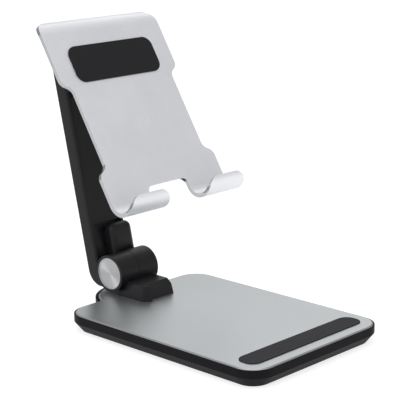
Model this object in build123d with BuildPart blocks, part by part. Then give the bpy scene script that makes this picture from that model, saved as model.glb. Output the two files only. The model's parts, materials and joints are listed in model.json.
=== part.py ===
from build123d import *
import math
import os

# Phone stand: a weighted base, a hinged arm and a hinged holder with two lips.
# Millimetres. X is the width, -Y the front, +Z up. The origin is the middle of the base's underside.

# Base
BASE_WIDTH = 80.0
BASE_LENGTH = 110.0
BASE_CORNER = 10.0
TONGUE_Y = 47.5  # centre of the round tongue that reaches under the hinge
TONGUE_RADIUS = 20.7
TONGUE_RIM = 1.5  # the tray's rim is wider round the tongue
PLATE_TOP = 8.5
PLATE_THICK = 2.0
RIM_DROP = 0.5  # the tray's rim lies this far below the plate's face
RIM_WIDTH = 0.7
TRAY_BOTTOM = 0.4
TRAY_BEVEL_IN = 3.4
TRAY_BEVEL_UP = 4.2
TRAY_FLOOR = 2.0
TRAY_WALL = 2.4
MAT_INSET = 4.5
MAT_SEAT = 0.4
MAT_CORNER = 8.5
WEIGHT_SIZE = (66.0, 84.0)
WEIGHT_Y = -6.0
WEIGHT_CORNER = 6.0
STRIP_SIZE = (69.6, 10.4)
STRIP_Y = -44.4
STRIP_CORNER = 4.6
STRIP_PROUD = 0.4
STRIP_SEAT = 0.5

# Hinges, the same at both ends of the arm
AXIS_Y = 58.6
AXIS_HEIGHT = 9.55  # axis above the base plate
KNUCKLE_RADIUS = 8.4
BARREL_HALF = 11.2
KNUCKLE_GAP = 0.1
HINGE_CLEARANCE = 0.4
PIN_RADIUS = 3.0
PIN_CLEARANCE = 0.05
POCKET_RADIUS = 5.6
PIN_HEAD_RADIUS = 5.2
CAP_RADIUS = 7.2
CAP_DEPTH = 1.2
CAP_CENTRE = 0.6  # thickness of the cap at its middle
CAP_DISH = 0.9  # and at the foot of its raised rim
CAP_RIM_START = 0.9  # the rim, measured inwards from the edge
CAP_RIM_INSIDE = 0.6
CAP_RIM_OUTSIDE = 0.2
CAP_EDGE = 1.0
PIN_HEAD = 2.4
NUT_DEPTH = 5.6  # depth of the nut's pocket behind the cap
NUT_RADIUS = 4.6
NUT_THICK = 2.5
WASHER_THICK = 0.5
SPRING_HEIGHT = 1.0
SPRING_THICK = 0.5
THRUST_RADIUS = 7.0
THRUST_SEAT = 0.5

# Bracket: a foot block with one half of the barrel
FOOT_HALF = 9.3
FOOT_FRONT = 22.0
FOOT_HEIGHT = 6.8
FOOT_DRAFT = 8.5
FOOT_STEP_X = -5.6
FOOT_STEP = 1.9
FOOT_NOSE = 2.2  # chamfer along the top of the stepped-back front
SCREW_RADIUS = 1.5
SCREW_HEAD_RADIUS = 2.8
SCREW_HEAD = 1.5
BASE_SCREW_HEAD = 0.9
SCREW_KEY = 1.2
SCREW_GRIP = 5.0
BRACKET_SCREW_X = 5.0
BRACKET_SCREW_Y = -14.0

# Arm
ARM_LEAN = 12.4
ARM_SPAN = 103.0  # from axis to axis
ARM_HALF = 10.2
ARM_FRONT = 7.9  # distance of the front face behind the axes
ARM_BACK = 15.8
HEEL_CENTRE = (7.6, 1.8)  # its distance behind the axis plus the radius is ARM_BACK
HEEL_RADIUS = 8.2
ARM_WALL = 1.9
ARM_BACK_WALL = 1.5
CAVITY_END = -3.0
ARM_ROUND = 1.5
RECESS_END = 22.4
LEAF_FRONT = 10.3
LEAF_BACK_STEP = 11.2
LEAF_END = 36.0
WEB_HEIGHT = 8.5
COVER_THICK = 1.2
STIFFENER_HALF = 6.5
STIFFENER_THICK = 1.3
STIFFENER_GAP = 1.0
RIVET_RADIUS = 1.25
RIVET_HEAD = 0.6
RIVET_X = 3.6
RIVET_HEIGHT = 31.0
BOSS_RADIUS = 2.4
BOSS_CLEARANCE = 0.2
BOSS_OFFSET = 7.0
COVER_SCREW_RADIUS = 1.2
COVER_SCREW_HEAD_RADIUS = 2.2
COVER_SCREW_SEAT = 1.0
COVER_SCREW_HEAD = 0.8
COVER_SCREW_KEY = 1.0
COVER_SCREW_TIP = 0.5
LUG_LEFT = -2.4
LUG_RIGHT = 10.2
LUG_FRONT = 2.9
LUG_TOP = 21.2
LUG_CORNER = 3.2
LUG_ROUND = 2.9

# Holder, in its own plane: height along the sheet from the top edge of the cable slot
HOLDER_LEAN = 31.7
HOLDER_ORIGIN = (0.0, 31.85, 62.75)
SHEET = 1.8
HEAD_HALF = 34.0
WAIST_HALF = 29.0
WAIST_LOW = 8.9
WAIST_HIGH = 48.6
WAIST_RISE = 3.0
WAIST_ROUND = 3.8
HEAD_CORNER = 6.5
CURL_TURN = 41.0
SLOT_HALF = 11.8
SLOT_CORNER = 3.4
LIP_RADIUS = 7.4  # outside radius of the fold
LIP_CENTRE = -4.5
LIP_TOP = -5.6
LIP_CORNER = 6.0
EDGE_BREAK = 0.3
OVERCUT = 1.0  # cutting shapes reach this far past the sheet
PAD_SIZE = (48.8, 16.9)
PAD_MIDDLE = 59.1
PAD_CORNER = 4.5
PAD_THICK = 0.7


def leaning(origin, degrees):
    """Plane with local z leaning back from straight up, local x across and local y to the rear."""
    lean = math.radians(degrees)
    return Plane(origin=origin, x_dir=(1, 0, 0), z_dir=(0, math.sin(lean), math.cos(lean)))


LOWER = Plane(origin=(0, AXIS_Y, PLATE_TOP + AXIS_HEIGHT))
ARM = leaning(LOWER.origin, ARM_LEAN)
ARM_END = Plane(origin=ARM.from_local_coords((0, 0, ARM_SPAN)), x_dir=-ARM.x_dir, z_dir=-ARM.z_dir)
HOLDER = leaning(HOLDER_ORIGIN, HOLDER_LEAN)
UPPER = Plane(origin=ARM_END.origin, x_dir=(-1, 0, 0), z_dir=HOLDER.y_dir)

axis_in_holder = HOLDER.to_local_coords(ARM_END.origin)
CURL_START = axis_in_holder.Z
CURL_RADIUS = axis_in_holder.Y  # of the front face, about the upper hinge's axis
UPPER_HEIGHT = CURL_RADIUS - SHEET  # axis behind the back of the sheet


def across(frame, x=0.0):
    """Side plane of a frame: sketch x is the frame's y, sketch y its z, extrusion goes along its x."""
    return Plane(origin=frame.from_local_coords((x, 0, 0)), x_dir=frame.y_dir, z_dir=frame.x_dir)


def facing(frame, y=0.0):
    """Front plane of a frame: sketch x is its -x, sketch y its z, extrusion goes to its rear."""
    return Plane(origin=frame.from_local_coords((0, y, 0)), x_dir=-frame.x_dir, z_dir=frame.y_dir)


def above(frame, z=0.0):
    """Level plane of a frame, at height z."""
    return Plane(origin=frame.from_local_coords((0, 0, z)), x_dir=frame.x_dir, z_dir=frame.z_dir)


def save(piece, name):
    piece.part.label = name
    export_step(piece.part, f"parts/{name}.step")


def base_outline(grow, tongue_grow):
    """Rounded plate with a round tongue at the rear, each grown outwards by an amount."""
    RectangleRounded(BASE_WIDTH + 2 * grow, BASE_LENGTH + 2 * grow, BASE_CORNER + grow)
    with Locations((0, TONGUE_Y)):
        Circle(TONGUE_RADIUS + tongue_grow)


BASE_SCREW_SPOTS = [(-25.0, -38.0), (25.0, -38.0), (-25.0, 26.0), (25.0, 26.0)]
BRACKET_SCREW_SPOTS = [(-BRACKET_SCREW_X, BRACKET_SCREW_Y), (BRACKET_SCREW_X, BRACKET_SCREW_Y)]
BASE_BRACKET_SPOTS = [(x, AXIS_Y + y) for x, y in BRACKET_SCREW_SPOTS]
PLATE_UNDER = PLATE_TOP - PLATE_THICK
WEIGHT_UNDER = TRAY_BOTTOM + TRAY_FLOOR


def make_base_tray():
    rim = PLATE_TOP - RIM_DROP
    with BuildPart() as base_tray:
        with BuildSketch(Plane.XY.offset(TRAY_BOTTOM + TRAY_BEVEL_UP)):
            base_outline(RIM_WIDTH, TONGUE_RIM)
        extrude(amount=rim - TRAY_BOTTOM - TRAY_BEVEL_UP)
        with BuildSketch(Plane.XY.offset(TRAY_BOTTOM + TRAY_BEVEL_UP)):
            base_outline(RIM_WIDTH, TONGUE_RIM)
        extrude(amount=-TRAY_BEVEL_UP, taper=math.degrees(math.atan(TRAY_BEVEL_IN / TRAY_BEVEL_UP)))
        with BuildSketch(Plane.XY.offset(PLATE_UNDER)):
            base_outline(0, 0)
        extrude(amount=PLATE_THICK, mode=Mode.SUBTRACT)
        with BuildSketch(Plane.XY.offset(WEIGHT_UNDER)):
            inside = (BASE_WIDTH - 2 * TRAY_WALL, BASE_LENGTH - 2 * TRAY_WALL)
            RectangleRounded(*inside, BASE_CORNER - TRAY_WALL)
        extrude(amount=PLATE_THICK + PLATE_UNDER - WEIGHT_UNDER, mode=Mode.SUBTRACT)
        with BuildSketch(Plane.XY.offset(TRAY_BOTTOM)):
            RectangleRounded(BASE_WIDTH - 2 * MAT_INSET, BASE_LENGTH - 2 * MAT_INSET, MAT_CORNER)
        extrude(amount=MAT_SEAT, mode=Mode.SUBTRACT)
        for radius, depth in ((SCREW_RADIUS, TRAY_FLOOR), (SCREW_HEAD_RADIUS, BASE_SCREW_HEAD)):
            with BuildSketch(Plane.XY.offset(TRAY_BOTTOM + MAT_SEAT)):
                with Locations(*BASE_SCREW_SPOTS):
                    Circle(radius)
            extrude(amount=depth, mode=Mode.SUBTRACT)
    save(base_tray, "base_tray")


def make_base_mat():
    with BuildPart() as base_mat:
        with BuildSketch():
            RectangleRounded(BASE_WIDTH - 2 * MAT_INSET, BASE_LENGTH - 2 * MAT_INSET, MAT_CORNER)
        extrude(amount=TRAY_BOTTOM + MAT_SEAT)
        chamfer(base_mat.faces().sort_by(Axis.Z)[0].edges(), EDGE_BREAK)
    save(base_mat, "base_mat")


def make_base_weight():
    with BuildPart() as base_weight:
        with BuildSketch(Plane.XY.offset(WEIGHT_UNDER)):
            with Locations((0, WEIGHT_Y)):
                RectangleRounded(*WEIGHT_SIZE, WEIGHT_CORNER)
            with Locations(*BASE_SCREW_SPOTS):
                Circle(SCREW_RADIUS, mode=Mode.SUBTRACT)
        extrude(amount=PLATE_UNDER - WEIGHT_UNDER)
    save(base_weight, "base_weight")


def make_base_plate():
    with BuildPart() as base_plate:
        with BuildSketch(Plane.XY.offset(PLATE_UNDER)):
            base_outline(0, 0)
        extrude(amount=PLATE_THICK)
        chamfer(base_plate.faces().sort_by(Axis.Z)[-1].edges(), RIM_DROP)
        with BuildSketch(Plane.XY.offset(PLATE_TOP)):
            with Locations((0, STRIP_Y)):
                RectangleRounded(*STRIP_SIZE, STRIP_CORNER)
        extrude(amount=-STRIP_SEAT, mode=Mode.SUBTRACT)
        with BuildSketch(Plane.XY.offset(PLATE_UNDER)):
            with Locations(*BASE_BRACKET_SPOTS):
                Circle(SCREW_RADIUS)
        extrude(amount=PLATE_THICK, mode=Mode.SUBTRACT)
        with BuildSketch(Plane.XY.offset(PLATE_UNDER)):
            with Locations(*BASE_SCREW_SPOTS):
                Circle(SCREW_RADIUS)
        extrude(amount=PLATE_THICK / 2, mode=Mode.SUBTRACT)
    save(base_plate, "base_plate")


def make_base_grip_strip():
    with BuildPart() as base_grip_strip:
        with BuildSketch(Plane.XY.offset(PLATE_TOP - STRIP_SEAT)):
            with Locations((0, STRIP_Y)):
                RectangleRounded(*STRIP_SIZE, STRIP_CORNER)
        extrude(amount=STRIP_SEAT + STRIP_PROUD)
        fillet(base_grip_strip.faces().sort_by(Axis.Z)[-1].edges(), EDGE_BREAK)
    save(base_grip_strip, "base_grip_strip")


def make_base_screws():
    head_under = TRAY_BOTTOM + MAT_SEAT
    shank_under = head_under + BASE_SCREW_HEAD / 2
    with BuildPart() as base_screws:
        with BuildSketch(Plane.XY.offset(head_under)):
            with Locations(*BASE_SCREW_SPOTS):
                Circle(SCREW_HEAD_RADIUS)
                RegularPolygon(SCREW_KEY, 6, mode=Mode.SUBTRACT)
        extrude(amount=BASE_SCREW_HEAD)
        with BuildSketch(Plane.XY.offset(shank_under)):
            with Locations(*BASE_SCREW_SPOTS):
                Circle(SCREW_RADIUS)
        extrude(amount=PLATE_UNDER + PLATE_THICK / 2 - shank_under)
    save(base_screws, "base_screws")


def make_bracket(name, frame, height):
    """Foot block on a plate at local z -height, with the right half of the barrel on its axis."""
    foot_height = FOOT_HEIGHT + height - AXIS_HEIGHT
    nose_back = (foot_height - FOOT_NOSE) * math.tan(math.radians(FOOT_DRAFT))
    with BuildPart() as bracket:
        with BuildSketch(above(frame, -height)):
            with Locations((0, FOOT_HALF - FOOT_FRONT)):
                Rectangle(2 * FOOT_HALF, 2 * FOOT_HALF)
            with Locations((-FOOT_HALF, -FOOT_FRONT)):
                Rectangle(2 * FOOT_STEP, 2 * FOOT_STEP, rotation=45, mode=Mode.SUBTRACT)
        extrude(amount=foot_height, taper=FOOT_DRAFT)
        with BuildSketch(across(frame, FOOT_STEP_X)):
            with BuildLine():
                Polyline(
                    (-FOOT_FRONT, -height),
                    (FOOT_STEP - FOOT_FRONT, -height),
                    (FOOT_STEP + nose_back - FOOT_FRONT, foot_height - height - FOOT_NOSE),
                    (FOOT_STEP + nose_back + FOOT_NOSE - FOOT_FRONT, foot_height - height),
                    (-FOOT_FRONT, foot_height - height),
                    close=True,
                )
            make_face()
        extrude(amount=2 * FOOT_HALF, mode=Mode.SUBTRACT)
        with BuildSketch(across(frame, -BARREL_HALF)):
            Circle(KNUCKLE_RADIUS + HINGE_CLEARANCE)
        extrude(amount=BARREL_HALF + KNUCKLE_GAP, mode=Mode.SUBTRACT)
        with BuildSketch(across(frame, KNUCKLE_GAP)):
            Circle(KNUCKLE_RADIUS)
        extrude(amount=BARREL_HALF - KNUCKLE_GAP)
        with BuildSketch(across(frame, KNUCKLE_GAP)):
            Circle(THRUST_RADIUS)
        extrude(amount=THRUST_SEAT, mode=Mode.SUBTRACT)
        with BuildSketch(across(frame, KNUCKLE_GAP)):
            Circle(PIN_RADIUS)
        extrude(amount=BARREL_HALF, mode=Mode.SUBTRACT)
        with BuildSketch(across(frame, BARREL_HALF)):
            Circle(CAP_RADIUS)
        extrude(amount=-CAP_DEPTH, mode=Mode.SUBTRACT)
        with BuildSketch(across(frame, BARREL_HALF - CAP_DEPTH)):
            RegularPolygon(PIN_HEAD_RADIUS, 6)
        extrude(amount=-PIN_HEAD, mode=Mode.SUBTRACT)
        with BuildSketch(above(frame, -height)):
            with Locations(*BRACKET_SCREW_SPOTS):
                Circle(SCREW_RADIUS)
        extrude(amount=SCREW_GRIP, mode=Mode.SUBTRACT)
    save(bracket, name)


def make_hinge_core(end, frame):
    """Pin, washers, springs, nut and the cap of the bracket's end, all on one hinge axis."""
    cap_floor = BARREL_HALF - CAP_DEPTH
    pocket_floor = -(cap_floor - NUT_DEPTH)
    with BuildPart() as pin:
        with BuildSketch(across(frame, -cap_floor)):
            Circle(PIN_RADIUS)
        extrude(amount=2 * cap_floor - PIN_HEAD)
        with BuildSketch(across(frame, cap_floor)):
            RegularPolygon(PIN_HEAD_RADIUS, 6)
        extrude(amount=-PIN_HEAD)
    save(pin, f"{end}_hinge_pin")
    with BuildPart() as thrust_washer:
        with BuildSketch(across(frame, KNUCKLE_GAP + THRUST_SEAT)):
            Circle(THRUST_RADIUS)
            Circle(PIN_RADIUS, mode=Mode.SUBTRACT)
        extrude(amount=PIN_CLEARANCE - THRUST_SEAT - 2 * KNUCKLE_GAP)
    save(thrust_washer, f"{end}_thrust_washer")
    washer_outside = POCKET_RADIUS - HINGE_CLEARANCE
    washer_start = pocket_floor - PIN_CLEARANCE
    with BuildPart() as friction_washer:
        with BuildSketch(across(frame, washer_start)):
            Circle(washer_outside)
            Circle(PIN_RADIUS, mode=Mode.SUBTRACT)
        extrude(amount=-WASHER_THICK)
    save(friction_washer, f"{end}_friction_washer")
    spring_start = washer_start - WASHER_THICK
    with BuildPart() as disc_springs:
        for start, step in ((spring_start, -1), (spring_start - 2 * SPRING_HEIGHT, 1)):
            with BuildSketch(above(frame)):
                with BuildLine():
                    Polyline(
                        (start, washer_outside),
                        (start + step * SPRING_THICK, washer_outside),
                        (start + step * SPRING_HEIGHT, PIN_RADIUS),
                        (start + step * (SPRING_HEIGHT - SPRING_THICK), PIN_RADIUS),
                        close=True,
                    )
                make_face()
            revolve(axis=Axis(frame.origin, frame.x_dir))
    save(disc_springs, f"{end}_disc_springs")
    with BuildPart() as nut:
        with BuildSketch(across(frame, spring_start - 2 * SPRING_HEIGHT)):
            RegularPolygon(NUT_RADIUS, 6)
            Circle(PIN_RADIUS, mode=Mode.SUBTRACT)
        extrude(amount=-NUT_THICK)
    save(nut, f"{end}_lock_nut")
    make_cap(f"{end}_bracket_cap", frame, 1)


def make_cap(name, frame, side):
    """Turned disc with a raised rim and a shallow cone, in the end of the barrel."""
    floor = side * (BARREL_HALF - CAP_DEPTH)
    with BuildPart() as cap:
        with BuildSketch(above(frame)):
            with BuildLine():
                Polyline(
                    (floor, 0),
                    (floor + side * CAP_CENTRE, 0),
                    (floor + side * CAP_DISH, CAP_RADIUS - CAP_RIM_START),
                    (floor + side * CAP_DEPTH, CAP_RADIUS - CAP_RIM_INSIDE),
                    (floor + side * CAP_DEPTH, CAP_RADIUS - CAP_RIM_OUTSIDE),
                    (floor + side * CAP_EDGE, CAP_RADIUS),
                    (floor, CAP_RADIUS),
                    close=True,
                )
            make_face()
        revolve(axis=Axis(frame.origin, frame.x_dir))
    save(cap, name)


def make_yoke(name, frame):
    """Casting in one end of the arm: left half of the barrel, leaf behind it and the lug above it."""
    cavity_half = ARM_HALF - ARM_WALL
    leaf_back = ARM_BACK - ARM_BACK_WALL
    with BuildPart() as yoke:
        with BuildSketch(facing(frame, LUG_FRONT)):
            with Locations((-(LUG_LEFT + LUG_RIGHT) / 2, LUG_TOP / 2)):
                RectangleRounded(LUG_RIGHT - LUG_LEFT, LUG_TOP, LUG_CORNER)
        extrude(amount=ARM_FRONT - LUG_FRONT)
        fillet(yoke.faces().sort_by(Axis(frame.origin, frame.y_dir))[0].edges(), LUG_ROUND)
        with BuildSketch(across(frame, -cavity_half)):
            with BuildLine():
                Polyline(
                    (LEAF_FRONT, CAVITY_END),
                    (LEAF_FRONT, RECESS_END + COVER_THICK),
                    (LEAF_BACK_STEP, RECESS_END + COVER_THICK),
                    (LEAF_BACK_STEP, LEAF_END),
                    (leaf_back, LEAF_END),
                    (leaf_back, CAVITY_END),
                    close=True,
                )
            make_face()
        extrude(amount=2 * cavity_half)
        with BuildSketch(facing(frame, ARM_FRONT)):
            with Locations((-LUG_LEFT, 0)):
                Rectangle(cavity_half - LUG_LEFT, LUG_TOP - LUG_CORNER, align=(Align.MAX, Align.MIN))
        extrude(amount=LEAF_FRONT - ARM_FRONT)
        with BuildSketch(across(frame, -BARREL_HALF)):
            Circle(KNUCKLE_RADIUS + HINGE_CLEARANCE)
        extrude(amount=2 * BARREL_HALF, mode=Mode.SUBTRACT)
        with BuildSketch(across(frame, -BARREL_HALF)):
            Circle(KNUCKLE_RADIUS)
        extrude(amount=BARREL_HALF - KNUCKLE_GAP)
        with BuildSketch(across(frame, -cavity_half)):
            with Locations((0, CAVITY_END)):
                Rectangle(leaf_back, WEB_HEIGHT, align=(Align.MIN, Align.MIN))
        extrude(amount=cavity_half - KNUCKLE_GAP)
        with BuildSketch(across(frame, -BARREL_HALF)):
            Circle(CAP_RADIUS)
        extrude(amount=CAP_DEPTH, mode=Mode.SUBTRACT)
        with BuildSketch(across(frame, CAP_DEPTH - BARREL_HALF)):
            Circle(POCKET_RADIUS)
        extrude(amount=NUT_DEPTH, mode=Mode.SUBTRACT)
        with BuildSketch(across(frame, -BARREL_HALF)):
            Circle(PIN_RADIUS + PIN_CLEARANCE)
        extrude(amount=BARREL_HALF, mode=Mode.SUBTRACT)
        with BuildSketch(facing(frame, LEAF_BACK_STEP)):
            with Locations(*rivet_spots(RIVET_HEIGHT)):
                Circle(RIVET_RADIUS)
        extrude(amount=leaf_back - LEAF_BACK_STEP, mode=Mode.SUBTRACT)
    save(yoke, name)


def rivet_spots(height):
    return [(-RIVET_X, height), (RIVET_X, height)]


def boss_spots():
    middle = ARM_SPAN / 2
    return [(0, middle - BOSS_OFFSET), (0, middle + BOSS_OFFSET)]


def make_arm_rear_shell():
    cavity_half = ARM_HALF - ARM_WALL
    with BuildPart() as arm_rear_shell:
        with BuildSketch(across(ARM, -ARM_HALF)):
            heel_y, heel_z = HEEL_CENTRE
            with Locations((ARM_FRONT, heel_z)):
                Rectangle(ARM_BACK - ARM_FRONT, ARM_SPAN - 2 * heel_z, align=(Align.MIN, Align.MIN))
            with Locations((heel_y, heel_z), (heel_y, ARM_SPAN - heel_z)):
                Circle(HEEL_RADIUS)
            with Locations((ARM_FRONT, ARM_SPAN / 2)):
                Rectangle(2 * HEEL_RADIUS, ARM_SPAN, align=(Align.MAX, Align.CENTER), mode=Mode.SUBTRACT)
        extrude(amount=2 * ARM_HALF)
        long_edges = arm_rear_shell.faces().filter_by(Axis.X).edges().filter_by(
            lambda edge: ARM.to_local_coords(edge.center()).Y > HEEL_CENTRE[0])
        fillet(long_edges, ARM_ROUND)
        with BuildSketch(facing(ARM, -HEEL_RADIUS)):
            with Locations((0, CAVITY_END)):
                Rectangle(2 * cavity_half, ARM_SPAN - 2 * CAVITY_END, align=(Align.CENTER, Align.MIN))
        extrude(amount=HEEL_RADIUS + ARM_BACK - ARM_BACK_WALL, mode=Mode.SUBTRACT)
        for frame in (ARM, ARM_END):
            with BuildSketch(across(frame, -BARREL_HALF)):
                Circle(KNUCKLE_RADIUS)
            extrude(amount=BARREL_HALF, mode=Mode.SUBTRACT)
            with BuildSketch(across(frame, -HINGE_CLEARANCE)):
                Circle(KNUCKLE_RADIUS + HINGE_CLEARANCE)
            extrude(amount=BARREL_HALF + HINGE_CLEARANCE, mode=Mode.SUBTRACT)
        with BuildSketch(facing(ARM, ARM_BACK - ARM_BACK_WALL)):
            with Locations(*boss_spots()):
                Circle(COVER_SCREW_RADIUS)
        extrude(amount=ARM_BACK_WALL, mode=Mode.SUBTRACT)
        with BuildSketch(facing(ARM, ARM_BACK - COVER_SCREW_SEAT)):
            with Locations(*boss_spots()):
                Circle(COVER_SCREW_HEAD_RADIUS)
        extrude(amount=COVER_SCREW_SEAT, mode=Mode.SUBTRACT)
    save(arm_rear_shell, "arm_rear_shell")


def make_arm_front_cover():
    cover_half = ARM_HALF - ARM_WALL
    cover_back = ARM_FRONT + COVER_THICK
    with BuildPart() as arm_front_cover:
        with BuildSketch(across(ARM, -cover_half)):
            with BuildLine():
                Polyline(
                    (ARM_FRONT, RECESS_END),
                    (ARM_FRONT, ARM_SPAN - RECESS_END),
                    (LEAF_FRONT, ARM_SPAN - RECESS_END),
                    (LEAF_FRONT, ARM_SPAN - RECESS_END - COVER_THICK),
                    (cover_back, ARM_SPAN - RECESS_END - COVER_THICK),
                    (cover_back, RECESS_END + COVER_THICK),
                    (LEAF_FRONT, RECESS_END + COVER_THICK),
                    (LEAF_FRONT, RECESS_END),
                    close=True,
                )
            make_face()
        extrude(amount=2 * cover_half)
        with BuildSketch(facing(ARM, cover_back)):
            with Locations(*boss_spots()):
                Circle(BOSS_RADIUS)
        extrude(amount=ARM_BACK - ARM_BACK_WALL - cover_back)
        with BuildSketch(facing(ARM, cover_back)):
            with Locations(*boss_spots()):
                Circle(COVER_SCREW_RADIUS)
        extrude(amount=ARM_BACK - ARM_BACK_WALL - cover_back, mode=Mode.SUBTRACT)
    save(arm_front_cover, "arm_front_cover")


def make_arm_stiffener():
    with BuildPart() as arm_stiffener:
        with BuildSketch(facing(ARM, LEAF_BACK_STEP)):
            with Locations((0, ARM_SPAN / 2)):
                Rectangle(2 * STIFFENER_HALF, ARM_SPAN - 2 * (RECESS_END + COVER_THICK + STIFFENER_GAP))
            with Locations(*boss_spots()):
                Circle(BOSS_RADIUS + BOSS_CLEARANCE, mode=Mode.SUBTRACT)
            for height in (RIVET_HEIGHT, ARM_SPAN - RIVET_HEIGHT):
                with Locations(*rivet_spots(height)):
                    Circle(RIVET_RADIUS, mode=Mode.SUBTRACT)
        extrude(amount=-STIFFENER_THICK)
    save(arm_stiffener, "arm_stiffener")


def make_arm_rivets():
    head_back = LEAF_BACK_STEP - STIFFENER_THICK
    with BuildPart() as arm_rivets:
        for height in (RIVET_HEIGHT, ARM_SPAN - RIVET_HEIGHT):
            with BuildSketch(facing(ARM, head_back)):
                with Locations(*rivet_spots(height)):
                    Circle(RIVET_RADIUS)
            extrude(amount=ARM_BACK - ARM_BACK_WALL - head_back)
            with BuildSketch(facing(ARM, head_back)):
                with Locations(*rivet_spots(height)):
                    Circle(2 * RIVET_RADIUS)
            extrude(amount=-RIVET_HEAD)
    save(arm_rivets, "arm_rivets")


def make_arm_cover_screws():
    tip = ARM_FRONT + COVER_THICK + COVER_SCREW_TIP
    seat = ARM_BACK - COVER_SCREW_SEAT
    with BuildPart() as arm_cover_screws:
        with BuildSketch(facing(ARM, tip)):
            with Locations(*boss_spots()):
                Circle(COVER_SCREW_RADIUS)
        extrude(amount=seat - tip)
        with BuildSketch(facing(ARM, seat)):
            with Locations(*boss_spots()):
                Circle(COVER_SCREW_HEAD_RADIUS)
                RegularPolygon(COVER_SCREW_KEY, 6, mode=Mode.SUBTRACT)
        extrude(amount=COVER_SCREW_HEAD)
    save(arm_cover_screws, "arm_cover_screws")


def make_bracket_screws(name, frame, start, length):
    """Two screws into a bracket's foot, from local z start, where the outside of their heads lies."""
    with BuildPart() as bracket_screws:
        with BuildSketch(above(frame, start)):
            with Locations(*BRACKET_SCREW_SPOTS):
                Circle(SCREW_HEAD_RADIUS)
                RegularPolygon(SCREW_KEY, 6, mode=Mode.SUBTRACT)
        extrude(amount=SCREW_HEAD)
        with BuildSketch(above(frame, start + SCREW_HEAD / 2)):
            with Locations(*BRACKET_SCREW_SPOTS):
                Circle(SCREW_RADIUS)
        extrude(amount=length - SCREW_HEAD / 2)
    save(bracket_screws, name)


def make_holder_plate():
    lip_turn = 180 - math.degrees(math.asin((LIP_CENTRE - LIP_TOP) / (LIP_RADIUS - SHEET / 2)))
    fold = (SHEET - LIP_RADIUS, LIP_CENTRE)
    curl = (CURL_RADIUS, CURL_START)
    top = CURL_START + CURL_RADIUS * math.sin(math.radians(CURL_TURN))
    below = LIP_CENTRE - LIP_RADIUS - OVERCUT
    ahead = LIP_RADIUS + CURL_RADIUS
    with BuildPart() as holder_plate:
        with BuildSketch(across(HOLDER, -HEAD_HALF)):
            with BuildLine():
                Line((0, LIP_CENTRE), (0, CURL_START))
                front_curl = CenterArc(curl, CURL_RADIUS, 180, -CURL_TURN)
                back_curl = CenterArc(curl, CURL_RADIUS - SHEET, 180, -CURL_TURN)
                Line(front_curl @ 1, back_curl @ 1)
                Line((SHEET, CURL_START), (SHEET, LIP_CENTRE))
                outer_fold = CenterArc(fold, LIP_RADIUS, 0, -lip_turn)
                inner_fold = CenterArc(fold, LIP_RADIUS - SHEET, 0, -lip_turn)
                Line(outer_fold @ 1, inner_fold @ 1)
            make_face()
        extrude(amount=2 * HEAD_HALF)
        with BuildSketch(facing(HOLDER, -ahead)) as outline:
            with BuildLine():
                Polyline(
                    (HEAD_HALF, below),
                    (HEAD_HALF, WAIST_LOW),
                    (WAIST_HALF, WAIST_LOW + WAIST_RISE),
                    (WAIST_HALF, WAIST_HIGH),
                    (HEAD_HALF, WAIST_HIGH + WAIST_RISE),
                    (HEAD_HALF, top),
                    (0, top),
                )
                mirror(about=Plane.YZ)
                Line((HEAD_HALF, below), (-HEAD_HALF, below))
            make_face()
            corners = outline.vertices().filter_by(lambda vertex: below < vertex.Y < top - OVERCUT)
            fillet(corners, WAIST_ROUND)
            top_corners = outline.vertices().sort_by(Axis.Y)[-3:].sort_by(Axis.X)[::2]
            fillet(top_corners, HEAD_CORNER)
        extrude(amount=2 * ahead, mode=Mode.INTERSECT)
        with BuildSketch(facing(HOLDER, -ahead)) as slot:
            Rectangle(2 * SLOT_HALF, -below, align=(Align.CENTER, Align.MAX))
            fillet(slot.vertices().sort_by(Axis.Y)[-2:], SLOT_CORNER)
        extrude(amount=2 * ahead, mode=Mode.SUBTRACT)
        for side in (-1, 1):
            for end, inward in ((HEAD_HALF, -1), (SLOT_HALF, 1)):
                with BuildSketch(facing(HOLDER, -ahead)):
                    middle = side * (end + inward * LIP_CORNER / 2)
                    with Locations((middle, LIP_TOP + (OVERCUT - LIP_CORNER) / 2)):
                        Rectangle(LIP_CORNER, LIP_CORNER + OVERCUT)
                    with Locations((side * (end + inward * LIP_CORNER), LIP_TOP - LIP_CORNER)):
                        Circle(LIP_CORNER, mode=Mode.SUBTRACT)
                extrude(amount=ahead + fold[0], mode=Mode.SUBTRACT)
        with BuildSketch(above(UPPER, -CURL_RADIUS)):
            with Locations(*BRACKET_SCREW_SPOTS):
                Circle(SCREW_RADIUS)
        extrude(amount=SHEET, mode=Mode.SUBTRACT)
        with BuildSketch(above(UPPER, -CURL_RADIUS)):
            with Locations(*BRACKET_SCREW_SPOTS):
                Circle(SCREW_HEAD_RADIUS)
        extrude(amount=SCREW_HEAD, mode=Mode.SUBTRACT)
    save(holder_plate, "holder_plate")


def make_holder_pad():
    with BuildPart() as holder_pad:
        with BuildSketch(facing(HOLDER)):
            with Locations((0, PAD_MIDDLE)):
                RectangleRounded(*PAD_SIZE, PAD_CORNER)
        extrude(amount=-PAD_THICK)
        fillet(holder_pad.faces().sort_by(Axis(HOLDER.origin, HOLDER.y_dir))[0].edges(), EDGE_BREAK)
    save(holder_pad, "holder_pad")


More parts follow.
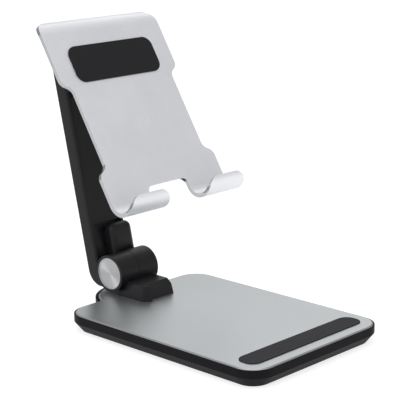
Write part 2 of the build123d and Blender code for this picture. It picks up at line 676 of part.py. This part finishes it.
if __name__ == "__main__":
    os.makedirs("parts", exist_ok=True)
    make_base_tray()
    make_base_mat()
    make_base_weight()
    make_base_plate()
    make_base_grip_strip()
    make_base_screws()
    make_bracket("base_hinge_bracket", LOWER, AXIS_HEIGHT)
    make_bracket("holder_hinge_bracket", UPPER, UPPER_HEIGHT)
    under_plate = AXIS_HEIGHT + PLATE_THICK + SCREW_HEAD
    make_bracket_screws("base_bracket_screws", LOWER, -under_plate, under_plate - AXIS_HEIGHT + SCREW_GRIP)
    make_bracket_screws("holder_bracket_screws", UPPER, -CURL_RADIUS, SHEET + SCREW_GRIP)
    make_hinge_core("lower", LOWER)
    make_hinge_core("upper", UPPER)
    make_yoke("lower_yoke", ARM)
    make_yoke("upper_yoke", ARM_END)
    make_cap("lower_yoke_cap", ARM, -1)
    make_cap("upper_yoke_cap", ARM_END, -1)
    make_arm_rear_shell()
    make_arm_front_cover()
    make_arm_stiffener()
    make_arm_rivets()
    make_arm_cover_screws()
    make_holder_plate()
    make_holder_pad()
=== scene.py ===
import json
import math

import bmesh
import bpy
from mathutils import Matrix, Vector


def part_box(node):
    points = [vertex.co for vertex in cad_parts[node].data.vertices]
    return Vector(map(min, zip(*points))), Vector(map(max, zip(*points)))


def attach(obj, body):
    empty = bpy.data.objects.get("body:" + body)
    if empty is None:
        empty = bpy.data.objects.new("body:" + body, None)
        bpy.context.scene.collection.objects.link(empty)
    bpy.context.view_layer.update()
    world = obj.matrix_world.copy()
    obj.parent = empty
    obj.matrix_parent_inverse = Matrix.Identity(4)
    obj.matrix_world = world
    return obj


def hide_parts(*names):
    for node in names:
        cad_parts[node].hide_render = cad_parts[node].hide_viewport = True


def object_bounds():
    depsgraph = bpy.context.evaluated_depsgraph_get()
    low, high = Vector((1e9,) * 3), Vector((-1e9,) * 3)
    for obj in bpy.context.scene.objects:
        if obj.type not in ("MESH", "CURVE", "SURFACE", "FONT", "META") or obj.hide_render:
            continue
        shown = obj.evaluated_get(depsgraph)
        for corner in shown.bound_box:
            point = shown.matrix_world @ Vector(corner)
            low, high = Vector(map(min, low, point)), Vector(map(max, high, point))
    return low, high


bl_info = {
    "name": "Phone stand finishes",
    "version": (1, 0, 0),
    "blender": (4, 5, 0),
    "location": "3D View > Sidebar > Phone stand",
    "description": "Finishes, turned caps, edge breaks and a plain stage for a hinged phone stand",
    "category": "Object",
}

# The part: its nodes stay where they are, and the added caps are placed by their boxes.
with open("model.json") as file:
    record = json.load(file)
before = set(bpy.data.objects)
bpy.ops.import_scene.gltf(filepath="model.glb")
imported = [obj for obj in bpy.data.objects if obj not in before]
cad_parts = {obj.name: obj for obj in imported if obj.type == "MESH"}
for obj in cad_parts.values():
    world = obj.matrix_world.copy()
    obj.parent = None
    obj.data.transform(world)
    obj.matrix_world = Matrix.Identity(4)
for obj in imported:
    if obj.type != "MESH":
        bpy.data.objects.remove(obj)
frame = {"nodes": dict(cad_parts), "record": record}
CAD_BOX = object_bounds()
MM = 0.001


# ---------------------------------------------------------------- settings


class StandSizes(bpy.types.PropertyGroup):
    """Sizes of what is added to the plain solids."""

    sheet_edge: bpy.props.FloatProperty(
        name="Sheet edge", description="Width of the bright cut along the holder's outline",
        default=0.3 * MM, min=0.0, unit="LENGTH")
    casting_edge: bpy.props.FloatProperty(
        name="Casting edge", description="Rounding of the hinge castings' edges",
        default=0.45 * MM, min=0.0, unit="LENGTH")
    shell_edge: bpy.props.FloatProperty(
        name="Shell edge", description="Rounding of the arm shell's thin edges",
        default=0.3 * MM, min=0.0, unit="LENGTH")
    tray_edge: bpy.props.FloatProperty(
        name="Tray edge", description="Rounding of the tray's moulded edges",
        default=0.5 * MM, min=0.0, unit="LENGTH")
    ring_pitch: bpy.props.FloatProperty(
        name="Ring pitch", description="Distance between the turned rings on a cap",
        default=0.3 * MM, min=0.0, unit="LENGTH")
    ring_height: bpy.props.FloatProperty(
        name="Ring height", description="Height of the turned rings on a cap",
        default=0.004 * MM, min=0.0, unit="LENGTH")
    cap_segments: bpy.props.IntProperty(
        name="Cap segments", description="Facets round a turned cap", default=96, min=12)


def colour(name, description, default):
    return bpy.props.FloatVectorProperty(
        name=name, description=description, subtype="COLOR", size=3, min=0.0, max=1.0, default=default)


class StandColours(bpy.types.PropertyGroup):
    """Colours of the finishes, in scene linear values."""

    sandblasted: colour("Sandblasted sheet", "The holder's anodised face", (0.79, 0.8, 0.83))
    satin: colour("Satin plate", "The base plate's face", (0.53, 0.555, 0.567))
    cut: colour("Cut edge", "Bright cut edges of both aluminium parts", (0.95, 0.96, 0.97))
    # sheared edge colour: a sheared finish, darkened as painted shade for the shade on the holder's
    # thickness
    sheared_and_shaded: colour("Sheared edge", "The holder's thickness, between its cut edges", (0.42, 0.43, 0.44))
    spun: colour("Spun cap", "The turned caps of the hinges", (0.5, 0.505, 0.51))
    casting: colour("Casting paint", "Painted hinge castings", (0.0095, 0.009, 0.0105))
    moulded: colour("Moulded plastic", "The arm's shell and cover", (0.0085, 0.0085, 0.009))
    tray: colour("Tray plastic", "The base's tray", (0.007, 0.007, 0.0085))
    silicone: colour("Silicone", "The holder's pad", (0.012, 0.0115, 0.013))
    strip: colour("Strip silicone", "The strip at the front of the base", (0.02, 0.02, 0.023))
    steel: colour("Zinc plate", "Pins, nuts, stiffener and weight", (0.62, 0.63, 0.64))
    black_steel: colour("Black steel", "Screws and springs", (0.05, 0.05, 0.055))
    bronze: colour("Bronze", "Friction washers", (0.6, 0.38, 0.16))
    acetal: colour("Acetal", "Thrust washers", (0.78, 0.77, 0.72))
    floor: colour("Floor", "The plain floor", (0.45, 0.45, 0.45))


class StageSettings(bpy.types.PropertyGroup):
    """The plain stage: camera, floor and soft lights."""

    camera_place: bpy.props.FloatVectorProperty(
        name="Camera place", description="Where the camera stands", subtype="TRANSLATION", size=3,
        default=(-0.40354, -0.38356, 0.19857))
    camera_azimuth: bpy.props.FloatProperty(
        name="Camera azimuth", description="Direction from the object to the camera, from +X",
        default=math.radians(224.421), subtype="ANGLE")
    camera_elevation: bpy.props.FloatProperty(
        name="Camera elevation", description="Height of the camera above the horizon",
        default=math.radians(14.006), subtype="ANGLE")
    camera_roll: bpy.props.FloatProperty(
        name="Camera roll", description="Turn of the camera about its own axis",
        default=math.radians(-0.903), subtype="ANGLE")
    lens: bpy.props.FloatProperty(
        name="Lens", description="Focal length for a 36 mm wide sensor", default=123.79, min=1.0)
    floor_size: bpy.props.FloatProperty(
        name="Floor size", description="Side of the square floor", default=14.0, min=1.0, unit="LENGTH")
    floor_glow: bpy.props.FloatProperty(
        name="Floor glow", description="Light given by the floor itself, as from a light table",
        default=0.72, min=0.0)
    sky: bpy.props.FloatProperty(
        name="Sky", description="Strength of the even light all round", default=0.55, min=0.0)


# ---------------------------------------------------------------- nodes and meshes


def add_node(tree, kind, inputs=None, **settings):
    """Adds a node, sets its settings, and fills or links its inputs by name or place."""
    made = tree.nodes.new(kind)
    for key, value in settings.items():
        setattr(made, key, value)
    for key, value in (inputs or {}).items():
        if isinstance(value, bpy.types.NodeSocket):
            tree.links.new(value, made.inputs[key])
        else:
            made.inputs[key].default_value = value
    return made


def calculate(tree, operation, first, second=0.0):
    return add_node(tree, "ShaderNodeMath", {0: first, 1: second}, operation=operation).outputs[0]


def merged_copy(node, name, flat_angle=0.5):
    """A copy of a node's mesh with its loose triangles joined and its flat areas made whole."""
    mesh = frame["nodes"][node].data.copy()
    work = bmesh.new()
    work.from_mesh(mesh)
    bmesh.ops.remove_doubles(work, verts=work.verts, dist=0.002 * MM)
    bmesh.ops.dissolve_limit(
        work, angle_limit=math.radians(flat_angle), verts=work.verts, edges=work.edges)
    work.to_mesh(mesh)
    work.free()
    mesh.name = name
    mesh.materials.clear()
    return mesh


def show(mesh, name):
    made = bpy.data.objects.new(name, mesh)
    bpy.context.scene.collection.objects.link(made)
    return made


def made_plain(thing):
    """Replaces an object's mesh by its evaluated one and takes its modifiers off."""
    graph = bpy.context.evaluated_depsgraph_get()
    mesh = bpy.data.meshes.new_from_object(thing.evaluated_get(graph), depsgraph=graph)
    thing.modifiers.clear()
    thing.data = mesh
    mesh.name = thing.name
    return thing


def smooth_faces(mesh, angle=30.0):
    for face in mesh.polygons:
        face.use_smooth = True
    mesh.set_sharp_from_angle(angle=math.radians(angle))


def edge_broken(node, name, width, finishes, segments=2, angle=28.0):
    """A copy of a node with its sharp edges rounded; the rounded band takes the last finish."""
    mesh = merged_copy(node, name)
    for finish in finishes:
        mesh.materials.append(finish)
    smooth_faces(mesh, angle)
    piece = show(mesh, name)
    bevel = piece.modifiers.new("edge_break", "BEVEL")
    bevel.width = width
    bevel.segments = segments
    bevel.limit_method = "ANGLE"
    bevel.angle_limit = math.radians(angle)
    bevel.use_clamp_overlap = True
    bevel.harden_normals = True
    bevel.material = len(finishes) - 1
    return made_plain(piece)


def body_of(node):
    bodies = frame["record"]["behaviour"]["bodies"]
    return next(body for body, nodes in bodies.items() if node in nodes)


def stand_for(piece, node):
    """The piece rides with a node's body and hides the node."""
    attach(piece, body_of(node))
    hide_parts(node)


def give_finish(node, finish):
    mesh = frame["nodes"][node].data
    if not mesh.materials:
        mesh.materials.append(finish)
    for place in range(len(mesh.materials)):
        mesh.materials[place] = finish


# ---------------------------------------------------------------- finishes


def start_material(name):
    finish = bpy.data.materials.new(name)
    finish.use_nodes = True
    tree = finish.node_tree
    return finish, tree, tree.nodes["Principled BSDF"]


def object_place(tree, stretch=(1.0, 1.0, 1.0)):
    place = add_node(tree, "ShaderNodeTexCoord").outputs["Object"]
    return add_node(tree, "ShaderNodeMapping", {"Vector": place, "Scale": stretch}).outputs[0]


def noise(tree, place, scale, detail=3.0):
    inputs = {"Vector": place, "Scale": scale, "Detail": detail}
    return add_node(tree, "ShaderNodeTexNoise", inputs).outputs[0]


def between(tree, factor, low, high):
    """Maps a 0.3 to 0.7 factor, such as a noise, to a range."""
    return add_node(tree, "ShaderNodeMapRange", {0: factor, 1: 0.3, 2: 0.7, 3: low, 4: high}).outputs[0]


def shade(tree, factor, base, spread):
    """The base colour, a little darker to a little lighter as the factor goes from 0 to 1."""
    mix = add_node(tree, "ShaderNodeMix", {0: factor}, data_type="RGBA")
    mix.inputs[6].default_value = [*(c * (1 - spread) for c in base), 1.0]
    mix.inputs[7].default_value = [*(min(1.0, c * (1 + spread)) for c in base), 1.0]
    return mix.outputs[2]


def bump(tree, height, distance, strength=1.0):
    return add_node(tree, "ShaderNodeBump", {"Height": height, "Distance": distance,
                                             "Strength": strength}).outputs[0]


def sandblasted_aluminium(base):
    """Fine even pits under a clear anodised skin."""
    finish, tree, shader = start_material("sandblasted_aluminium")
    place = object_place(tree)
    pits = noise(tree, place, 1500.0, 4.0)
    clouds = noise(tree, place, 60.0, 3.0)
    shader.inputs["Metallic"].default_value = 0.82
    tree.links.new(shade(tree, add_node(tree, "ShaderNodeMix", {0: 0.4, 2: clouds, 3: pits}).outputs[0],
                         base, 0.09), shader.inputs["Base Color"])
    tree.links.new(between(tree, pits, 0.4, 0.5), shader.inputs["Roughness"])
    tree.links.new(bump(tree, pits, 0.1 * MM, 0.9), shader.inputs["Normal"])
    return finish


BEVEL_PAINTED_SHADE = 0.4  # painted shade: colour of the plate's bevel, as a share of the cut edge's, darkened to dim the high softbox's reflection


def satin_aluminium(base, cut):
    """Fine satin lines along the plate on its level face, and a rougher bevel darkened with painted shade.
    """
    finish, tree, shader = start_material("satin_aluminium")
    lines = noise(tree, object_place(tree, (9000.0, 160.0, 9000.0)), 1.0, 2.0)
    clouds = noise(tree, object_place(tree), 35.0, 2.0)
    normal = add_node(tree, "ShaderNodeTexCoord").outputs["Normal"]
    level = add_node(tree, "ShaderNodeSeparateXYZ", {0: normal}).outputs[2]
    bevelled = add_node(tree, "ShaderNodeMapRange", {0: level, 1: 0.99, 2: 0.9, 3: 0.0, 4: 1.0}).outputs[0]
    face = shade(tree, add_node(tree, "ShaderNodeMix", {0: 0.5, 2: clouds, 3: lines}).outputs[0], base, 0.04)
    mix = add_node(tree, "ShaderNodeMix", {0: bevelled, 6: face}, data_type="RGBA")
    # painted shade: the bevel's cut colour is darkened so that it shows less of the high softbox's
    # reflection
    mix.inputs[7].default_value = [*(c * BEVEL_PAINTED_SHADE for c in cut), 1.0]
    tree.links.new(mix.outputs[2], shader.inputs["Base Color"])
    rough = add_node(tree, "ShaderNodeMix", {0: bevelled, 2: between(tree, lines, 0.34, 0.42), 3: 0.42})
    tree.links.new(rough.outputs[0], shader.inputs["Roughness"])
    shader.inputs["Metallic"].default_value = 0.95
    tree.links.new(bump(tree, lines, 0.002 * MM, 0.3), shader.inputs["Normal"])
    return finish


def cut_aluminium(name, base):
    """Bare metal where a sheet was cut."""
    finish, tree, shader = start_material(name)
    lines = noise(tree, object_place(tree), 2400.0, 2.0)
    shader.inputs["Metallic"].default_value = 1.0
    tree.links.new(shade(tree, lines, base, 0.03), shader.inputs["Base Color"])
    tree.links.new(between(tree, lines, 0.14, 0.22), shader.inputs["Roughness"])
    return finish


def spun_aluminium(base):
    """Turned metal with a streaked reflection round its middle; the rings themselves are in the mesh."""
    finish, tree, shader = start_material("spun_aluminium")
    streaks = noise(tree, object_place(tree), 3000.0, 2.0)
    shader.inputs["Metallic"].default_value = 1.0
    tree.links.new(shade(tree, streaks, base, 0.04), shader.inputs["Base Color"])
    tree.links.new(between(tree, streaks, 0.42, 0.5), shader.inputs["Roughness"])
    shader.inputs["Anisotropic"].default_value = 0.95
    round_middle = add_node(tree, "ShaderNodeTangent", direction_type="RADIAL", axis="X")
    tree.links.new(round_middle.outputs[0], shader.inputs["Tangent"])
    return finish


BLACK_SURFACES = {  # scale of the grain, its depth, roughness, share of reflected light
    "casting_paint": (2600.0, 0.015 * MM, 0.4, 0.2),
    "arm_plastic": (3200.0, 0.015 * MM, 0.48, 0.18),
    "tray_plastic": (3000.0, 0.015 * MM, 0.5, 0.06),
    "pad_silicone": (2200.0, 0.02 * MM, 0.62, 0.15),
    "strip_silicone": (2000.0, 0.02 * MM, 0.62, 0.15),
    "mat_rubber": (1200.0, 0.05 * MM, 0.75, 0.2),
}


def black_finish(name, base):
    """A black surface with an even grain: paint, moulded plastic or silicone."""
    grain, depth, rough, specular = BLACK_SURFACES[name]
    finish, tree, shader = start_material(name)
    place = object_place(tree)
    fine = noise(tree, place, grain, 3.0)
    wide = noise(tree, place, 90.0, 2.0)
    tree.links.new(shade(tree, add_node(tree, "ShaderNodeMix", {0: 0.5, 2: wide, 3: fine}).outputs[0],
                         base, 0.12), shader.inputs["Base Color"])
    tree.links.new(between(tree, fine, rough - 0.04, rough + 0.05), shader.inputs["Roughness"])
    tree.links.new(bump(tree, fine, depth, 0.6), shader.inputs["Normal"])
    shader.inputs["Specular IOR Level"].default_value = specular
    return finish


def plain_metal(name, base, rough, grain=1500.0):
    """Plated or plain metal of pieces inside the hinges and the base."""
    finish, tree, shader = start_material(name)
    spots = noise(tree, object_place(tree), grain, 3.0)
    shader.inputs["Metallic"].default_value = 1.0
    tree.links.new(shade(tree, spots, base, 0.08), shader.inputs["Base Color"])
    tree.links.new(between(tree, spots, rough - 0.05, rough + 0.06), shader.inputs["Roughness"])
    return finish


def natural_acetal(base):
    finish, tree, shader = start_material("natural_acetal")
    spots = noise(tree, object_place(tree), 700.0, 2.0)
    tree.links.new(shade(tree, spots, base, 0.03), shader.inputs["Base Color"])
    tree.links.new(between(tree, spots, 0.38, 0.46), shader.inputs["Roughness"])
    return finish


# ---------------------------------------------------------------- geometry node trees


def start_tree(name, inputs):
    """A geometry node tree with named inputs; returns the tree, the inputs' sockets and identifiers."""
    tree = bpy.data.node_groups.new(name, "GeometryNodeTree")
    tree.interface.new_socket("Geometry", in_out="INPUT", socket_type="NodeSocketGeometry")
    names = {}
    for label, kind in inputs.items():
        names[label] = tree.interface.new_socket(label, in_out="INPUT", socket_type=kind).identifier
    tree.interface.new_socket("Geometry", in_out="OUTPUT", socket_type="NodeSocketGeometry")
    return tree, tree.nodes.new("NodeGroupInput").outputs, names


def end_tree(tree, geometry, finish):
    real = add_node(tree, "GeometryNodeRealizeInstances", {0: geometry}).outputs[0]
    coloured = add_node(tree, "GeometryNodeSetMaterial", {"Geometry": real, "Material": finish})
    add_node(tree, "NodeGroupOutput", {0: coloured.outputs[0]})


def grown(name, tree, names, values):
    """A piece grown by a tree from an empty mesh, as a plain mesh."""
    piece = show(bpy.data.meshes.new(name), name)
    growth = piece.modifiers.new("growth", "NODES")
    growth.node_group = tree
    for label, value in values.items():
        growth[names[label]] = value
    return made_plain(piece)


def profile_curve(tree, factor, points):
    """A straight-run curve through points of (way along the profile, value)."""
    made = add_node(tree, "ShaderNodeFloatCurve", {"Value": factor})
    line = made.mapping.curves[0]
    while len(line.points) < len(points):
        line.points.new(0.5, 0.5)
    for point, (way, value) in zip(line.points, points):
        point.location = (way, value)
        point.handle_type = "VECTOR"
    made.mapping.update()
    return made.outputs[0]


CAP_SAMPLES = 240  # points along the profile
CAP_SMOOTH_ANGLE = 35.0
CAP_MERGE = 0.003 * MM
CAP_FACE_END = 0.8  # share of the profile's samples on the ringed face
CAP_PROFILE = [  # (way along the profile, radius, height), as shares of the cap's radius and thickness
    (0.0, 0.0, 0.42),
    (CAP_FACE_END, 0.915, 0.8),
    (0.84, 0.925, 1.0),
    (0.89, 0.985, 1.0),
    (0.91, 1.0, 0.88),
    (0.95, 1.0, 0.0),
    (1.0, 0.0, 0.0),
]


def turned_disc_tree():
    """A turned disc about X: a shallow cone with fine rings, a raised rim and a flat back."""
    tree, given, names = start_tree("turned_disc", {
        "Radius": "NodeSocketFloat", "Thickness": "NodeSocketFloat", "Ring Pitch": "NodeSocketFloat",
        "Ring Height": "NodeSocketFloat", "Samples": "NodeSocketInt", "Segments": "NodeSocketInt",
        "Finish": "NodeSocketMaterial"})
    grid = add_node(tree, "GeometryNodeMeshGrid", {
        "Size X": 1.0, "Size Y": 1.0, "Vertices X": given["Samples"], "Vertices Y": given["Segments"]})
    position = add_node(tree, "GeometryNodeInputPosition").outputs[0]
    spot = add_node(tree, "ShaderNodeSeparateXYZ", {0: position})
    way = calculate(tree, "ADD", spot.outputs[0], 0.5)
    turn = calculate(tree, "MULTIPLY", calculate(tree, "ADD", spot.outputs[1], 0.5), 2 * math.pi)
    share = profile_curve(tree, way, [(at, radius) for at, radius, height in CAP_PROFILE])
    rise = profile_curve(tree, way, [(at, height) for at, radius, height in CAP_PROFILE])
    radius = calculate(tree, "MULTIPLY", share, given["Radius"])
    wave = calculate(tree, "SINE", calculate(tree, "MULTIPLY", calculate(
        tree, "DIVIDE", radius, given["Ring Pitch"]), 2 * math.pi))
    on_face = calculate(tree, "LESS_THAN", way, CAP_FACE_END)
    rings = calculate(tree, "MULTIPLY", calculate(tree, "MULTIPLY", wave, given["Ring Height"]), on_face)
    height = calculate(tree, "ADD", calculate(tree, "MULTIPLY", rise, given["Thickness"]), rings)
    place = add_node(tree, "ShaderNodeCombineXYZ", {
        0: height,
        1: calculate(tree, "MULTIPLY", radius, calculate(tree, "COSINE", turn)),
        2: calculate(tree, "MULTIPLY", radius, calculate(tree, "SINE", turn))})
    bent = add_node(tree, "GeometryNodeSetPosition", {"Geometry": grid.outputs["Mesh"],
                                                      "Position": place.outputs[0]})
    closed = add_node(tree, "GeometryNodeMergeByDistance", {"Geometry": bent.outputs[0],
                                                            "Distance": CAP_MERGE})
    end_tree(tree, closed.outputs[0], given["Finish"])
    return tree, names


# ---------------------------------------------------------------- operators


MOULDED_ANGLE = 34.0  # degrees between faces from which a casting's or shell's edge is rounded
TRAY_ANGLE = 20.0
TRAY_SEGMENTS = 3
FACE_FINISH = 0  # places of the holder's finishes in its material list
THICKNESS_SHADED_FINISH = 1
SIDE_TURN = 0.1  # the bent sheet's own faces never turn to the side, its thickness does


class STAND_OT_holder_sheet(bpy.types.Operator):
    """The bent sheet with a sandblasted face and a bright cut along its outline"""

    bl_idname = "stand.holder_sheet"
    bl_label = "Holder sheet"

    def execute(self, context):
        colours = context.scene.stand_colours
        finishes = [sandblasted_aluminium(colours.sandblasted),
                    # the holder's thickness takes a sheared finish with painted shade, a colour darker than
                    # the cut edge
                    cut_aluminium("sheared_shaded_aluminium", colours.sheared_and_shaded),
                    cut_aluminium("cut_aluminium", colours.cut)]
        sheet = edge_broken("holder_plate", "holder_sheet", context.scene.stand_sizes.sheet_edge, finishes)
        for face in sheet.data.polygons:
            # faces turned to the side are the sheet's thickness; they get the darker colour, which is
            # painted shade
            if face.material_index == FACE_FINISH and abs(face.normal.x) > SIDE_TURN:
                face.material_index = THICKNESS_SHADED_FINISH
        stand_for(sheet, "holder_plate")
        return {"FINISHED"}


class STAND_OT_castings(bpy.types.Operator):
    """The painted brackets and yokes of both hinges, with rounded edges"""

    bl_idname = "stand.castings"
    bl_label = "Hinge castings"

    def execute(self, context):
        paint = black_finish("casting_paint", context.scene.stand_colours.casting)
        width = context.scene.stand_sizes.casting_edge
        for node in ("base_hinge_bracket", "holder_hinge_bracket", "lower_yoke", "upper_yoke"):
            stand_for(edge_broken(node, node + "_casting", width, [paint], angle=MOULDED_ANGLE), node)
        return {"FINISHED"}


class STAND_OT_arm_mouldings(bpy.types.Operator):
    """The arm's shell and cover"""

    bl_idname = "stand.arm_mouldings"
    bl_label = "Arm mouldings"

    def execute(self, context):
        plastic = black_finish("arm_plastic", context.scene.stand_colours.moulded)
        width = context.scene.stand_sizes.shell_edge
        shell = edge_broken("arm_rear_shell", "arm_shell", width, [plastic], angle=MOULDED_ANGLE)
        stand_for(shell, "arm_rear_shell")
        give_finish("arm_front_cover", plastic)
        return {"FINISHED"}


class STAND_OT_caps(bpy.types.Operator):
    """The four turned caps in the ends of the barrels"""

    bl_idname = "stand.caps"
    bl_label = "Turned caps"

    def execute(self, context):
        sizes = context.scene.stand_sizes
        metal = spun_aluminium(context.scene.stand_colours.spun)
        tree, names = turned_disc_tree()
        for node in ("lower_yoke_cap", "lower_bracket_cap", "upper_yoke_cap", "upper_bracket_cap"):
            low, high = (Vector(corner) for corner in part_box(node))
            middle = (low + high) / 2
            disc = grown(node + "_disc", tree, names, {
                "Radius": (high.y - low.y) / 2, "Thickness": high.x - low.x, "Ring Pitch": sizes.ring_pitch,
                "Ring Height": sizes.ring_height, "Samples": CAP_SAMPLES, "Segments": sizes.cap_segments + 1,
                "Finish": metal})
            side = math.copysign(1.0, middle.x)
            inner = min(abs(low.x), abs(high.x)) * side
            disc.data.transform(Matrix.Translation((inner, middle.y, middle.z)) @ Matrix.Diagonal(
                (side, 1.0, 1.0, 1.0)))
            face_outwards(disc.data)
            smooth_faces(disc.data, CAP_SMOOTH_ANGLE)
            stand_for(disc, node)
        return {"FINISHED"}


def face_outwards(mesh):
    work = bmesh.new()
    work.from_mesh(mesh)
    bmesh.ops.recalc_face_normals(work, faces=work.faces)
    work.to_mesh(mesh)
    work.free()


class STAND_OT_base(bpy.types.Operator):
    """The base's tray and plate"""

    bl_idname = "stand.base"
    bl_label = "Base"

    def execute(self, context):
        colours = context.scene.stand_colours
        plastic = black_finish("tray_plastic", colours.tray)
        tray = edge_broken("base_tray", "tray_moulding", context.scene.stand_sizes.tray_edge, [plastic],
                           segments=TRAY_SEGMENTS, angle=TRAY_ANGLE)
        stand_for(tray, "base_tray")
        give_finish("base_plate", satin_aluminium(colours.satin, colours.cut))
        return {"FINISHED"}


class STAND_OT_grips(bpy.types.Operator):
    """The holder's pad, the strip at the front of the base and the mat under it"""

    bl_idname = "stand.grips"
    bl_label = "Grips"

    def execute(self, context):
        colours = context.scene.stand_colours
        give_finish("holder_pad", black_finish("pad_silicone", colours.silicone))
        give_finish("base_grip_strip", black_finish("strip_silicone", colours.strip))
        give_finish("base_mat", black_finish("mat_rubber", colours.silicone))
        return {"FINISHED"}


class STAND_OT_hardware(bpy.types.Operator):
    """Pins, washers, springs, nuts, screws, rivets, stiffener and weight"""

    bl_idname = "stand.hardware"
    bl_label = "Hardware"

    def execute(self, context):
        colours = context.scene.stand_colours
        zinc = plain_metal("zinc_plate", colours.steel, 0.32)
        black = plain_metal("black_oxide", colours.black_steel, 0.4)
        bronze = plain_metal("bronze", colours.bronze, 0.3)
        acetal = natural_acetal(colours.acetal)
        finishes = {"base_weight": zinc, "base_screws": black, "base_bracket_screws": black,
                    "arm_stiffener": zinc, "arm_rivets": zinc, "arm_cover_screws": black,
                    "holder_bracket_screws": black}
        for end in ("lower", "upper"):
            finishes[end + "_hinge_pin"] = zinc
            finishes[end + "_lock_nut"] = zinc
            finishes[end + "_disc_springs"] = black
            finishes[end + "_friction_washer"] = bronze
            finishes[end + "_thrust_washer"] = acetal
        for node, finish in finishes.items():
            give_finish(node, finish)
        return {"FINISHED"}


SOFTBOXES = {  # place, side of the square and power
    "high_softbox": ((-0.5, -0.35, 1.15), 1.8, 11.0),
    "left_softbox": ((-1.1, 0.35, 0.5), 0.7, 2.5),
    "front_softbox": ((0.2, -1.2, 0.3), 0.8, 1.5),
    "rear_softbox": ((0.95, 0.75, 0.55), 0.8, 0.7),  # mirrored by the base plate
    "curl_softbox": ((0.8, 0.5, 0.95), 0.5, 0.8),  # mirrored by the holder's curled top
    "fill_softbox": ((-0.95, -0.7, 0.67), 0.4, 0.7),
}


class STAND_OT_stage(bpy.types.Operator):
    """Plain pale floor, even sky, soft lights and the camera"""

    bl_idname = "stand.stage"
    bl_label = "Stage"

    def execute(self, context):
        scene = context.scene
        settings = scene.stand_stage
        half = settings.floor_size / 2
        mesh = bpy.data.meshes.new("floor")
        mesh.from_pydata([(-half, -half, 0), (half, -half, 0), (half, half, 0), (-half, half, 0)], [],
                         [(0, 1, 2, 3)])
        paint, tree, shader = start_material("floor_paint")
        shader.inputs["Base Color"].default_value = [*scene.stand_colours.floor, 1.0]
        shader.inputs["Roughness"].default_value = 0.9
        shader.inputs["Specular IOR Level"].default_value = 0.0
        shader.inputs["Emission Color"].default_value = (1.0, 1.0, 1.0, 1.0)
        shader.inputs["Emission Strength"].default_value = settings.floor_glow
        mesh.materials.append(paint)
        show(mesh, "floor")
        world = bpy.data.worlds.new("even_sky")
        world.use_nodes = True
        world.node_tree.nodes["Background"].inputs["Strength"].default_value = settings.sky
        world.node_tree.nodes["Background"].inputs["Color"].default_value = (1.0, 1.0, 1.0, 1.0)
        scene.world = world
        low, high = CAD_BOX
        target = Vector(((low.x + high.x) / 2, (low.y + high.y) / 2, (low.z + high.z) / 2))
        for name, (place, size, power) in SOFTBOXES.items():
            add_light(name, place, target, size, power)
        scene.view_settings.view_transform = "Standard"
        place_camera(scene, settings)
        return {"FINISHED"}


def add_light(name, place, target, size, power):
    """A square softbox that looks at the target."""
    lamp = bpy.data.lights.new(name, "AREA")
    lamp.size = size
    lamp.energy = power
    softbox = bpy.data.objects.new(name, lamp)
    softbox.location = place
    softbox.rotation_euler = (target - Vector(place)).to_track_quat("-Z", "Y").to_euler()
    bpy.context.scene.collection.objects.link(softbox)


def place_camera(scene, settings):
    azimuth, elevation, roll = settings.camera_azimuth, settings.camera_elevation, settings.camera_roll
    back = Vector((math.cos(azimuth) * math.cos(elevation), math.sin(azimuth) * math.cos(elevation),
                   math.sin(elevation)))
    right = (-back).cross(Vector((0, 0, 1))).normalized()
    up = right.cross(-back)
    turned_right = right * math.cos(roll) + up * math.sin(roll)
    turned_up = up * math.cos(roll) - right * math.sin(roll)
    lens = bpy.data.cameras.new("camera")
    lens.sensor_width = 36.0
    lens.lens = settings.lens
    lens.clip_start = 0.01
    camera = bpy.data.objects.new("camera", lens)
    camera.matrix_world = Matrix.Translation(settings.camera_place) @ Matrix(
        (turned_right, turned_up, back)).transposed().to_4x4()
    scene.collection.objects.link(camera)
    scene.camera = camera


class STAND_PT_panel(bpy.types.Panel):
    """Lists the stand's pieces and settings"""

    bl_idname = "STAND_PT_panel"
    bl_label = "Phone stand"
    bl_space_type = "VIEW_3D"
    bl_region_type = "UI"
    bl_category = "Phone stand"

    def draw(self, context):
        for piece in OPERATORS:
            self.layout.operator(piece.bl_idname)
        for group in ("stand_sizes", "stand_colours", "stand_stage"):
            settings = getattr(context.scene, group)
            for name in settings.bl_rna.properties.keys():
                if name not in ("rna_type", "name"):
                    self.layout.prop(settings, name)


GROUPS = {"stand_sizes": StandSizes, "stand_colours": StandColours, "stand_stage": StageSettings}
OPERATORS = [STAND_OT_holder_sheet, STAND_OT_castings, STAND_OT_arm_mouldings, STAND_OT_caps, STAND_OT_base,
             STAND_OT_grips, STAND_OT_hardware, STAND_OT_stage]


def register():
    for kind in [*GROUPS.values(), *OPERATORS, STAND_PT_panel]:
        bpy.utils.register_class(kind)
    for name, group in GROUPS.items():
        setattr(bpy.types.Scene, name, bpy.props.PointerProperty(type=group))


def unregister():
    for name in GROUPS:
        delattr(bpy.types.Scene, name)
    for kind in reversed([*GROUPS.values(), *OPERATORS, STAND_PT_panel]):
        bpy.utils.unregister_class(kind)


def main():
    register()
    for piece in OPERATORS:
        group, name = piece.bl_idname.split(".")
        getattr(getattr(bpy.ops, group), name)()


if __name__ == "__main__":
    main()
